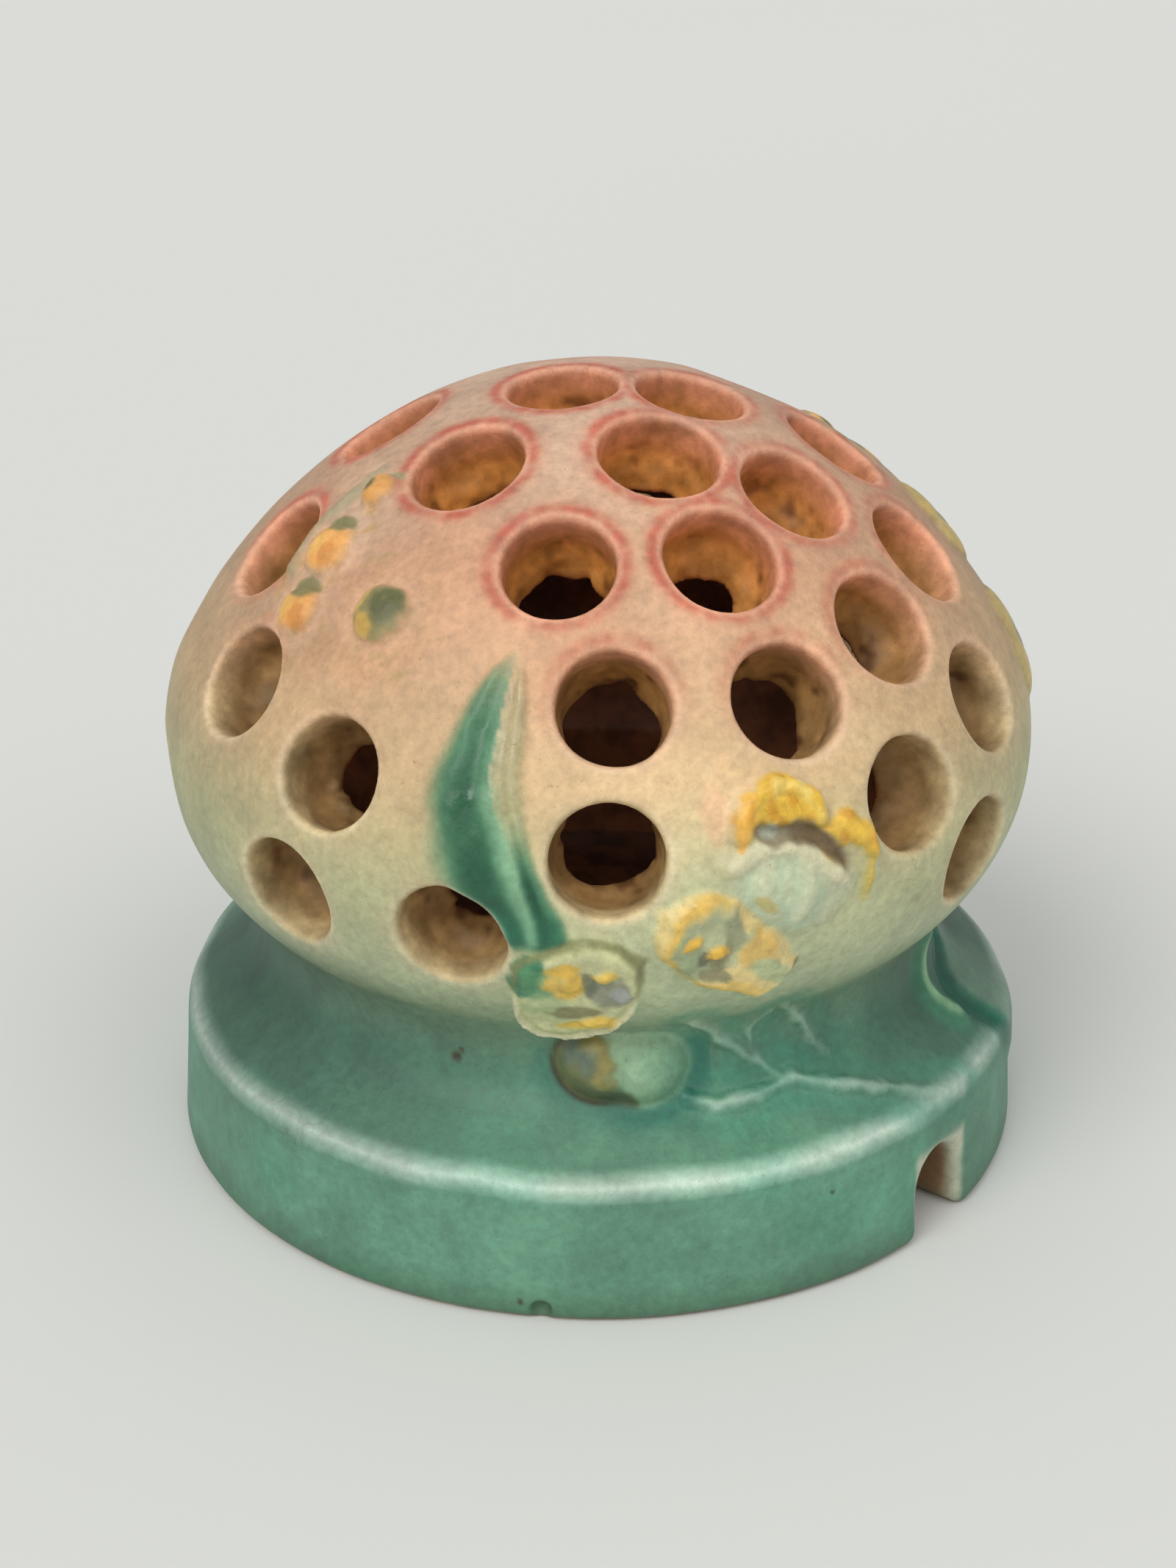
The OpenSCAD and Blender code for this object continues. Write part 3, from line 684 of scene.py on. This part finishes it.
def two_spots(azimuth, polar, wide, tall):
    """A soft spot round a place of the front, and its copy at the back."""
    front = np.exp(-((map_az - azimuth) / wide) ** 2 - ((map_run - run_at_polar(polar)) / tall) ** 2)
    return np.maximum(front, np.roll(front, turned, 1))


# the glaze bands, with painted shade towards each face's sides, on slightly wandering places
ground = sprayed_and_side_shaded(map_az + noise(map_point, 9, 81) * 3, map_run + noise(map_point, 7, 82) * 0.4)
cloud = noise(map_point, 11, 83) * 0.5 + noise(map_point, 5, 84) * 0.3 + noise(map_point, 2.2, 85) * 0.2
on_foot = smooth(map_run, run_at_polar(130), run_at_z(28))
ground = ground * (1 + (0.05 + 0.07 * on_foot)[..., None] * cloud[..., None])
ground[..., 2] *= 1 - 0.02 * (1 - on_foot)
pinker = smooth(noise(map_point, 14, 86), 0.0, 0.8) * smooth(map_point[..., 2], 60, 76)
ground = mix(ground, ground * np.array([1.03, 0.91, 0.88]), 0.45 * pinker)
lilac = two_spots(-55, 40, 11, 12) * (0.8 + 0.5 * noise(map_point, 4, 92))
salmon = two_spots(-44, 46, 17, 11) * (0.75 + 0.5 * noise(map_point, 5, 89))
ground = mix(ground, rgb(208, 142, 102), np.clip(0.45 * salmon, 0, 1))
ground = mix(ground, rgb(206, 186, 168), np.clip(0.5 * lilac, 0, 1))
greener = smooth(noise(map_point, 9, 87), 0.1, 0.8) * on_foot
ground = mix(ground, ground * np.array([0.88, 1.0, 0.97]), 0.6 * greener)
# soft aqua under the blossoms
ground = mix(ground, rgb(190, 208, 172), 0.45 * two_spots(14, 92, 13, 8))
# rings of salmon round the upper holes, faint and sandy at the lower ones
rim_gap = np.full(map_az.shape, 99.0)
for azimuth, polar, size, _ in HOLES:
    part = np.abs(map_run - run_at_polar(polar)) < 13
    out, off = from_hole(map_point[part], azimuth, polar)
    rim_gap[part] = np.minimum(rim_gap[part], np.where(np.abs(out) < 6, off - HOLE_R * size, 99))
high = smooth(map_point[..., 2], 64, 83)
ring = np.exp(-((rim_gap - 1.25) / 0.75) ** 2) \
    * (0.8 + 0.5 * noise(map_point, 2.5, 88) + 0.5 * noise(map_point, 0.9, 90))
paler = 1 - 0.5 * smooth(map_az, 32, 48) * smooth(map_az, 110, 90)
ground = mix(ground, mix(rgb(210, 160, 116), rgb(188, 80, 60), high),
             np.clip(ring, 0, 1) * (0.12 + 0.72 * high) * paler)
halo = np.exp(-(np.maximum(rim_gap, 0) / 3.0) ** 2)
ground = mix(ground, mix(rgb(214, 196, 160), rgb(206, 132, 106), high), halo * (0.18 + 0.14 * high))
paint_t = np.clip(cover, 0, 1)[..., None]
outside = ground * (1 - paint_t) + paint * paint_t


def on_map(table, azimuth, run):
    """Samples of the map at azimuths and runs, which wraps round the back."""
    table = np.concatenate([table, table[:, :1]], 1)
    return bilinear(table, run / STEP, (wrap(azimuth) + 180) / STEP)


# ---------------------------------------------------------------- the distance field
axis_x = np.arange(-55.5, 55.6, VOXEL)
axis_z = np.arange(-1.5, 97.6, VOXEL)
origin = np.array([axis_x[0], axis_x[0], axis_z[0]])
gx, gy = np.meshgrid(axis_x, axis_x, indexing="ij")
g_r = np.hypot(gx, gy)
g_az = np.degrees(np.arctan2(gx, -gy))
field = np.empty((len(axis_x), len(axis_x), len(axis_z)), np.float32)
for k, z in enumerate(axis_z):
    zz = np.full(g_r.shape, z)
    wall = in_section(wall_table, g_r, zz)
    solid = in_section(solid_table, g_r, zz)
    near = (np.abs(solid) < 3.5) & (g_r < 59)
    run = in_section(run_table, g_r[near], zz[near])
    p = np.stack([gx[near], gy[near], zz[near]], -1)
    lift = on_map(height, g_az[near], run) + 0.10 * noise(p, 16, 1) + 0.04 * noise(p, 5, 2)
    wall[near] -= lift * smooth(solid[near], -3.5, -2.0)
    field[:, :, k] = wall


def window(centre, half):
    """Slices of the field round a point, and the points in them."""
    low = np.maximum(((centre - half - origin) / VOXEL).astype(int), 0)
    high = np.minimum(((centre + half - origin) / VOXEL).astype(int) + 2, field.shape)
    at = tuple(slice(a, b) for a, b in zip(low, high))
    axes = [axis_x[at[0]], axis_x[at[1]], axis_z[at[2]]]
    return at, np.stack(np.meshgrid(*axes, indexing="ij"), -1)


# the bud on the foot: two balls in the cove, and their copies at the back
BUD_AZ, BUD_Z = 3.4, 27.0
bud_balls = []
for turn in (0, BACK_TURN):
    for x, y, z, r in [(-1.9, -40.4, 27.9, 5.1), (2.3, -40.0, 27.0, 5.4)]:
        a = math.radians(turn + 3.2)
        bud_balls.append((np.array([x * math.cos(a) - y * math.sin(a),
                                    x * math.sin(a) + y * math.cos(a), z]), r))
for centre, r in bud_balls:
    at, p = window(centre, 8.5)
    field[at] = smooth_min(field[at], np.linalg.norm(p - centre, axis=-1) - r, 0.9)

for number, (azimuth, polar, size, torn) in enumerate(HOLES):
    at, p = window(place(azimuth, dome_point(polar)) - 4 * place(azimuth, lean(polar)), 14.5)
    depth, off = from_hole(p, azimuth, polar)
    end = smooth(depth, -5.0, -10.4)
    rough = noise(p, 2.8, 200 + number) * 0.6 + noise(p, 1.3, 300 + number) * 0.35
    radius = HOLE_R * size - end * (torn + 1.4 * np.maximum(rough, -0.5)) \
        + 0.25 * smooth(depth, -1.4, 0.4) + 0.14 * noise(p, 5, 400 + number)
    k = 0.5 + 0.7 * smooth(depth, -3.0, -0.6)
    cut = np.where((depth > -15.5) & (depth < 8), radius - off, -9.0)
    field[at] = smooth_max(field[at], cut, k)

# the water notch through the foot's wall: straight jambs under a round arch
NOTCH_AZ, ARCH_Z, ARCH_R = math.radians(50.5), 6.3, 4.1
notch_out = np.array([math.sin(NOTCH_AZ), -math.cos(NOTCH_AZ), 0])
notch_across = np.array([math.cos(NOTCH_AZ), math.sin(NOTCH_AZ), 0])
at, p = window(notch_out * 48 + np.array([0, 0, 5.0]), 13)
aside = p @ notch_across
arch_gap = np.where(p[..., 2] < ARCH_Z, np.abs(aside), np.hypot(aside, p[..., 2] - ARCH_Z)) - ARCH_R
arch_gap = np.where(p @ notch_out > 34, arch_gap, 9.0) + 0.15 * noise(p, 4, 91)
field[at] = smooth_max(field[at], -arch_gap, 2.2)
# a chip in the foot's edge
CHIP = place(-7.1, np.array([52.4, 1.5]))
at, p = window(CHIP, 3)
field[at] = smooth_max(field[at], 1.0 - np.linalg.norm((p - CHIP) * [0.8, 1, 1], axis=-1), 0.6)

# ---------------------------------------------------------------- from field to mesh
grid = openvdb.FloatGrid(background=3.0)
grid.copyFromArray(field)
found, quads = grid.convertToQuads(0.0)
points = np.asarray(found, float)
quads = np.asarray(quads, np.int64)


def trilinear(volume, p):
    p = np.clip(p, 0, np.array(volume.shape) - 1.001)
    i = p.astype(np.int32)
    f = p - i
    out = 0.0
    for dx in (0, 1):
        for dy in (0, 1):
            for dz in (0, 1):
                w = (f[:, 0] if dx else 1 - f[:, 0]) * (f[:, 1] if dy else 1 - f[:, 1]) \
                    * (f[:, 2] if dz else 1 - f[:, 2])
                out = out + w * volume[i[:, 0] + dx, i[:, 1] + dy, i[:, 2] + dz]
    return out


def slope(p, h=0.6):
    out = np.empty_like(p)
    for axis in range(3):
        e = np.zeros(3)
        e[axis] = h
        out[:, axis] = (trilinear(field, p + e) - trilinear(field, p - e)) / (2 * h)
    return out


for _ in range(2):
    g = slope(points, 0.5)
    d = trilinear(field, points)
    step = (d / np.maximum((g * g).sum(1), 1e-4))[:, None] * g
    points -= np.clip(step, -0.35, 0.35)
points[:, 2] = np.maximum(points[:, 2], (0.0 - origin[2]) / VOXEL)
normals = slope(points, 0.8)
normals /= np.maximum(np.linalg.norm(normals, axis=1), 1e-6)[:, None]
place_mm = origin + points * VOXEL
face_normal = np.cross(place_mm[quads[:, 1]] - place_mm[quads[:, 0]],
                       place_mm[quads[:, 2]] - place_mm[quads[:, 0]])
if (face_normal * normals[quads[:, 0]]).sum(1).mean() < 0:
    quads = quads[:, ::-1]

# ---------------------------------------------------------------- what each point of the skin is
x, y, z = place_mm.T
r = np.hypot(x, y)
azimuth = np.degrees(np.arctan2(x, -y))
run = in_section(run_table, r, z)
solid = in_section(solid_table, r, z)
hole_gap = np.full(len(x), 99.0)
hole_depth = np.zeros(len(x))
for a, polar, size, _ in HOLES:
    depth, off = from_hole(place_mm, a, polar)
    gap = off - HOLE_R * size
    closer = (gap < hole_gap) & (depth > -13) & (depth < 6)
    hole_gap = np.where(closer, gap, hole_gap)
    hole_depth = np.where(closer, depth, hole_depth)
in_hole = smooth(hole_gap, 1.0, 0.2) * smooth(hole_depth, 0.2, -1.4)
inside = smooth(solid, -8.6, -9.6)
shell = smooth(solid, -2.6, -1.2)

colour = on_map(outside, azimuth, run)
gloss = on_map(shine, azimuth, run)
labels = owner[np.clip((run / STEP).round().astype(int), 0, owner.shape[0] - 1),
               ((wrap(azimuth) + 180) / STEP).round().astype(int) % owner.shape[1]]
mottle = 0.5 * noise(place_mm, 3.4, 501) + 0.3 * noise(place_mm, 1.6, 502) \
    + 0.2 * noise(place_mm, 0.9, 503)
high = smooth(z, 50, 78)
low_down = smooth(z, 32, 27)
dapple = mottle + 0.35 * noise(place_mm, 7, 506)
colour = colour * (1 + ((0.055 + 0.03 * low_down) * dapple)[:, None])
# thin pale glaze where it breaks over a hole's lip
lip_t = np.exp(-((hole_gap - 0.30) / 0.48) ** 2) * smooth(hole_depth, -1.6, -0.5)
lip_colour = mix(rgb(236, 228, 198), rgb(246, 190, 160), high)
colour = mix(colour, lip_colour, np.clip(lip_t * (0.80 + 0.25 * mottle), 0, 1))
# the bored walls: pinkish or tan near the mouth, brown further in
crown = smooth(z, 60, 84)
wall_colour = mix(mix(rgb(204, 184, 140), rgb(220, 150, 118), smooth(z, 58, 80)),
                  mix(rgb(156, 122, 76), rgb(206, 140, 66), crown),
                  smooth(hole_depth + 1.6 * mottle, -0.6, -7.0))
wall_colour = wall_colour * (1 + 0.26 * mottle[:, None])
stain = smooth(noise(place_mm, 3.0, 504) + 0.5 * noise(place_mm, 1.1, 505), 0.25, 0.9) \
    * smooth(hole_depth, -2, -6)
wall_colour = mix(wall_colour, wall_colour * np.array([0.55, 0.46, 0.36]), 0.8 * stain)
colour = mix(colour, wall_colour, in_hole * shell + (1 - shell) * smooth(hole_gap, 1.6, 0.6))
cavity = mix(rgb(146, 86, 50), rgb(104, 60, 36), smooth(mottle, -0.3, 0.5))
colour = mix(colour, cavity, np.maximum(inside, (1 - shell) * smooth(hole_gap, 0.6, 1.8)))
under = smooth(z, 0.9, 0.1) * smooth(-normals[:, 2], 0.5, 0.9)
colour = mix(colour, rgb(196, 176, 150) * (1 + 0.1 * mottle[:, None]), under)
# the notch's jambs
aside = x * math.cos(NOTCH_AZ) + y * math.sin(NOTCH_AZ)
outward = x * math.sin(NOTCH_AZ) - y * math.cos(NOTCH_AZ)
jamb = smooth(np.abs(aside), 5.6, 4.4) * smooth(z, 12.5, 10.6) * smooth(outward, 40, 43)
colour = mix(colour, mix(rgb(206, 204, 182), rgb(150, 120, 84), smooth(outward, 51.5, 49)), jamb * 0.9)
# the bud on the foot
ball_gap = np.min([np.linalg.norm(place_mm - c, axis=1) - q for c, q in bud_balls], 0)
outer_skin = solid > -0.5
on_bud = smooth(ball_gap, 0.9, 0.25) * outer_skin
for turn_deg in (0, BACK_TURN):
    off = wrap(azimuth - turn_deg - BUD_AZ)
    near = np.abs(off) < 14
    u = np.radians(off) * 44 + 1.7 * noise(place_mm, 3.4, 521) + 0.35 * (z - BUD_Z)
    v = z - BUD_Z + 1.6 * noise(place_mm, 2.8, 522)
    ragged = 1.6 * mottle
    bud = mix(rgb(172, 200, 160), rgb(142, 180, 146), smooth(u, 2, 7))
    for tone, t in (((126, 124, 82), smooth(u + ragged, 0.2, -1.4)),
                    ((178, 158, 88),
                     0.8 * smooth(np.abs(u + 1.6 + ragged), 1.4, 0.3) * smooth(v, -3, 0)),
                    ((112, 124, 112), 0.8 * smooth(np.hypot(u + 4.0, v - 2.0) + ragged, 2.4, 1.0)),
                    ((96, 96, 74), 0.7 * smooth(np.hypot(u + 2.6, v + 3.2) + ragged, 2.6, 0.8))):
        bud = mix(bud, rgb(*tone), t)
    colour = mix(colour, bud, on_bud * near)
    ringed = np.exp(-((ball_gap - 1.6) / 1.5) ** 2) * near * outer_skin * smooth(v, 5.5, 1.5)
    colour = mix(colour, rgb(44, 112, 96), ringed * (0.35 + 0.45 * smooth(u - 0.8 * v, -3, 4)))
    crack = np.exp(-((ball_gap - 0.55) / 0.35) ** 2) * near * smooth(u - 0.4 * v, 1.0, -3.0) * outer_skin
    colour = mix(colour, rgb(52, 46, 30), 0.75 * crack * smooth(mottle, -0.7, 0.2))
    labels = np.where(near & (ball_gap < 0.45) & outer_skin,
                      LABEL["foot_bud"] + (len(PARTS) if turn_deg else 0), labels)
gloss = np.maximum(gloss, 0.5 * on_bud)

# small kiln marks: dark pits and a chip on the foot
for a, mark_z, size in [(-22.3, 26.4, 0.8), (-21.6, 27.4, 0.45), (-7.1, 1.6, 1.6),
                        (-9.6, 2.4, 0.6), (30.5, 12.2, 0.3)]:
    spot = place(a, np.array([np.interp(run_at_z(mark_z), RUN, outer[:, 0]), mark_z]))
    t = smooth(np.linalg.norm(place_mm - spot, axis=1) + 0.5 * mottle, size, 0.3 * size)
    colour = mix(colour, rgb(62, 56, 40), 0.85 * t)

colour = np.clip(colour, 0.01, 0.98)
linear = np.where(colour <= 0.04045, colour / 12.92, ((colour + 0.055) / 1.055) ** 2.4)
grain = np.clip(0.35 + 0.65 * lip_t, 0, 1) * shell

# ---------------------------------------------------------------- the glaze
material = bpy.data.materials.new("matt_glaze")
material.use_nodes = True
nodes, links = material.node_tree.nodes, material.node_tree.links
nodes.clear()


def node(kind, **values):
    n = nodes.new(kind)
    for key, value in values.items():
        if key in n.inputs:
            n.inputs[key].default_value = value
        else:
            setattr(n, key, value)
    return n


def attribute(name):
    n = nodes.new("ShaderNodeAttribute")
    n.attribute_name = name
    return n


def ramp(source, low, high, to_low, to_high):
    n = node("ShaderNodeMapRange")
    links.new(source, n.inputs["Value"])
    for key, value in zip(("From Min", "From Max", "To Min", "To Max"), (low, high, to_low, to_high)):
        n.inputs[key].default_value = value
    return n.outputs["Result"]


def maths(operation, a, b):
    n = node("ShaderNodeMath", operation=operation)
    for socket, value in zip(n.inputs, (a, b)):
        if isinstance(value, (int, float)):
            socket.default_value = value
        else:
            links.new(value, socket)
    return n.outputs[0]


def noise_node(scale, detail, rough=0.5):
    n = node("ShaderNodeTexNoise", Scale=scale, Detail=detail, Roughness=rough)
    links.new(coordinates.outputs["Object"], n.inputs["Vector"])
    return n.outputs["Fac"]


coordinates = nodes.new("ShaderNodeTexCoord")
tint = attribute("glaze")
soft_noise, fine_noise, speck_noise = noise_node(160, 4), noise_node(900, 5, 0.65), noise_node(2600, 2)
value = maths("MULTIPLY", ramp(soft_noise, 0.3, 0.7, 0.92, 1.08), ramp(fine_noise, 0.3, 0.7, 0.84, 1.16))
shade = node("ShaderNodeHueSaturation")
links.new(tint.outputs["Color"], shade.inputs["Color"])
links.new(value, shade.inputs["Value"])
dark = node("ShaderNodeMix", data_type="RGBA", blend_type="MULTIPLY")
links.new(ramp(speck_noise, 0.67, 0.77, 0.0, 0.5), dark.inputs["Factor"])
links.new(shade.outputs["Color"], dark.inputs[6])
dark.inputs[7].default_value = (0.45, 0.36, 0.26, 1)
cracks = node("ShaderNodeTexVoronoi", feature="DISTANCE_TO_EDGE", Scale=210)
bend = node("ShaderNodeVectorMath", operation="ADD")
wander = node("ShaderNodeTexNoise", Scale=300, Detail=2)
links.new(coordinates.outputs["Object"], wander.inputs["Vector"])
shrink = node("ShaderNodeVectorMath", operation="SCALE")
links.new(wander.outputs["Color"], shrink.inputs[0])
shrink.inputs["Scale"].default_value = 0.006
links.new(coordinates.outputs["Object"], bend.inputs[0])
links.new(shrink.outputs[0], bend.inputs[1])
links.new(bend.outputs[0], cracks.inputs["Vector"])
line = ramp(cracks.outputs["Distance"], 0.0, 0.035, 1.0, 0.0)
crazed = maths("MULTIPLY", line, ramp(noise_node(90, 2), 0.60, 0.72, 0.0, 0.30))
stained = node("ShaderNodeMix", data_type="RGBA", blend_type="MULTIPLY")
links.new(crazed, stained.inputs["Factor"])
links.new(dark.outputs[2], stained.inputs[6])
stained.inputs[7].default_value = (0.36, 0.27, 0.17, 1)
shader = node("ShaderNodeBsdfPrincipled", IOR=1.5)
links.new(stained.outputs[2], shader.inputs["Base Color"])
polish = attribute("polish")
rough_base = ramp(polish.outputs["Fac"], 0, 1, 0.54, 0.24)
links.new(maths("ADD", rough_base, ramp(fine_noise, 0.3, 0.7, -0.06, 0.08)), shader.inputs["Roughness"])
grit = attribute("grain")
bump = node("ShaderNodeBump", Strength=1.0, Distance=0.00010)
gritty = maths("MULTIPLY", noise_node(1500, 3, 0.6), ramp(grit.outputs["Fac"], 0, 1, 0.35, 1.4))
links.new(gritty, bump.inputs["Height"])
links.new(bump.outputs["Normal"], shader.inputs["Normal"])
output = nodes.new("ShaderNodeOutputMaterial")
links.new(shader.outputs["BSDF"], output.inputs["Surface"])


def make_piece(name, faces):
    """A mesh of those faces of the skin, with its normals, colour and finish."""
    used, local = np.unique(faces, return_inverse=True)
    local = local.reshape(-1, 4)
    mesh = bpy.data.meshes.new(name)
    mesh.vertices.add(len(used))
    mesh.vertices.foreach_set("co", (place_mm[used] * MM).astype(np.float32).ravel())
    mesh.loops.add(local.size)
    mesh.loops.foreach_set("vertex_index", local.ravel().astype(np.int32))
    mesh.polygons.add(len(local))
    mesh.polygons.foreach_set("loop_start", np.arange(0, local.size, 4, dtype=np.int32))
    mesh.polygons.foreach_set("use_smooth", np.ones(len(local), bool))
    mesh.update(calc_edges=True)
    mesh.validate()
    store = mesh.attributes.new("glaze", "FLOAT_COLOR", "POINT")
    store.data.foreach_set("color", np.concatenate(
        [linear[used], np.ones((len(used), 1))], 1).astype(np.float32).ravel())
    for key, values in (("polish", gloss), ("grain", grain)):
        store = mesh.attributes.new(key, "FLOAT", "POINT")
        store.data.foreach_set("value", values[used].astype(np.float32))
    mesh.normals_split_custom_set_from_vertices(normals[used].astype(np.float32))
    mesh.materials.append(material)
    piece = bpy.data.objects.new(name, mesh)
    bpy.context.scene.collection.objects.link(piece)
    return piece


face_label = labels[quads[:, 0]]
middle = place_mm[quads].mean(1)
face_solid = solid[quads].mean(1)
bored = (hole_gap[quads].mean(1) < 0.7) & (hole_depth[quads].mean(1) < 0.0)
plain = (face_label == 0) | (face_solid < -0.6) | bored
WAIST_Z = COVE[1]
upper = middle[:, 2] > WAIST_Z
deep = face_solid < -8.6
DOME_SLOT, FOOT_SLOT = "dome_glaze", "foot_glaze"
SLOTS = {"leaf": "leaf_glaze", "bell_blossom": "blossom_glaze", "open_blossom": "blossom_glaze",
         "oval_blossom": "blossom_glaze", "foot_bud": "bud_glaze", "spray_stem": "stem_glaze",
         "upper_bud": "bud_glaze", "middle_bud": "bud_glaze", "lower_bud": "bud_glaze",
         "side_bud": "bud_glaze", "foot_veins": "stem_glaze", "curled_stem": "stem_glaze"}
plan = [("dome_front", plain & upper & ~deep & (middle[:, 1] < 0), "pierced_dome", DOME_SLOT),
        ("dome_back", plain & upper & ~deep & (middle[:, 1] >= 0), "pierced_dome", DOME_SLOT),
        ("dome_lining", plain & upper & deep, "pierced_dome", DOME_SLOT),
        ("drum_foot_skin", plain & ~upper, "drum_foot", FOOT_SLOT)]
for k, part in enumerate(("flank_upper_blossom", "flank_lower_blossom")):
    plan.append((f"{part}_skin", ~plain & (face_label == FLANK + 1 + k), part, "blossom_glaze"))
for side, offset in (("front", 0), ("back", len(PARTS))):
    for part in PARTS:
        plan.append((f"{side}_{part}_skin", ~plain & (face_label == LABEL[part] + offset),
                     f"{side}_{part}", SLOTS[part]))
for name, chosen, cad_node, slot in plan:
    piece = make_piece(name, quads[chosen])
    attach(piece, "root")
    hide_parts(cad_node)

# ---------------------------------------------------------------- table, light and camera
floor_material = bpy.data.materials.new("paper")
floor_material.use_nodes = True
floor_nodes, floor_links = floor_material.node_tree.nodes, floor_material.node_tree.links
paper = floor_nodes["Principled BSDF"]
paper.inputs["Roughness"].default_value = 0.9
paper.inputs["Specular IOR Level"].default_value = 0.1
paper_noise = floor_nodes.new("ShaderNodeTexNoise")
paper_noise.inputs["Scale"].default_value = 40
paper_mix = floor_nodes.new("ShaderNodeMix")
paper_mix.data_type = "RGBA"
paper_mix.inputs[6].default_value = (0.725, 0.735, 0.72, 1)
paper_mix.inputs[7].default_value = (0.76, 0.77, 0.755, 1)
floor_links.new(paper_noise.outputs["Fac"], paper_mix.inputs["Factor"])
floor_links.new(paper_mix.outputs[2], paper.inputs["Base Color"])
bpy.ops.mesh.primitive_plane_add(size=40, location=(0, 0, 0))
floor = bpy.context.object
floor.name = "floor"
floor.data.materials.append(floor_material)

world = bpy.data.worlds.new("studio")
bpy.context.scene.world = world
world.use_nodes = True
sky, sky_links = world.node_tree.nodes, world.node_tree.links
sky_place = sky.new("ShaderNodeTexCoord")
sky_split = sky.new("ShaderNodeSeparateXYZ")
sky_links.new(sky_place.outputs["Generated"], sky_split.inputs["Vector"])
sky_ramp = sky.new("ShaderNodeValToRGB")
sky_ramp.color_ramp.elements[0].position = 0.05
sky_ramp.color_ramp.elements[0].color = (0.50, 0.51, 0.50, 1)
sky_ramp.color_ramp.elements[1].position = 0.95
sky_ramp.color_ramp.elements[1].color = (1.0, 1.0, 0.985, 1)
sky_links.new(sky_split.outputs["Z"], sky_ramp.inputs["Fac"])
sky_links.new(sky_ramp.outputs["Color"], sky["Background"].inputs["Color"])
sky["Background"].inputs["Strength"].default_value = 0.66


def window_light(name, azimuth_deg, elevation_deg, power, softness):
    """A broad soft light from far off, like a window, azimuth counted from the front towards +X."""
    data = bpy.data.lights.new(name, "SUN")
    data.energy, data.angle = power, math.radians(softness)
    data.color = (1.0, 0.99, 0.96)
    light = bpy.data.objects.new(name, data)
    light.rotation_euler = (math.radians(90 - elevation_deg), 0, math.radians(azimuth_deg))
    bpy.context.scene.collection.objects.link(light)


window_light("left_window", -36, 47, 1.25, 34)
window_light("right_window", 42, 50, 0.45, 40)

camera_data = bpy.data.cameras.new("camera")
camera_data.sensor_width = 36
camera_data.lens = 60.76
camera_data.clip_start, camera_data.clip_end = 0.01, 20
camera = bpy.data.objects.new("camera", camera_data)
camera.location = (-0.0012, -0.2965, 0.1793)
camera.rotation_euler = (math.radians(90 - 24.8), 0, 0)
bpy.context.scene.collection.objects.link(camera)
bpy.context.scene.camera = camera
bpy.context.scene.view_settings.view_transform = "Standard"
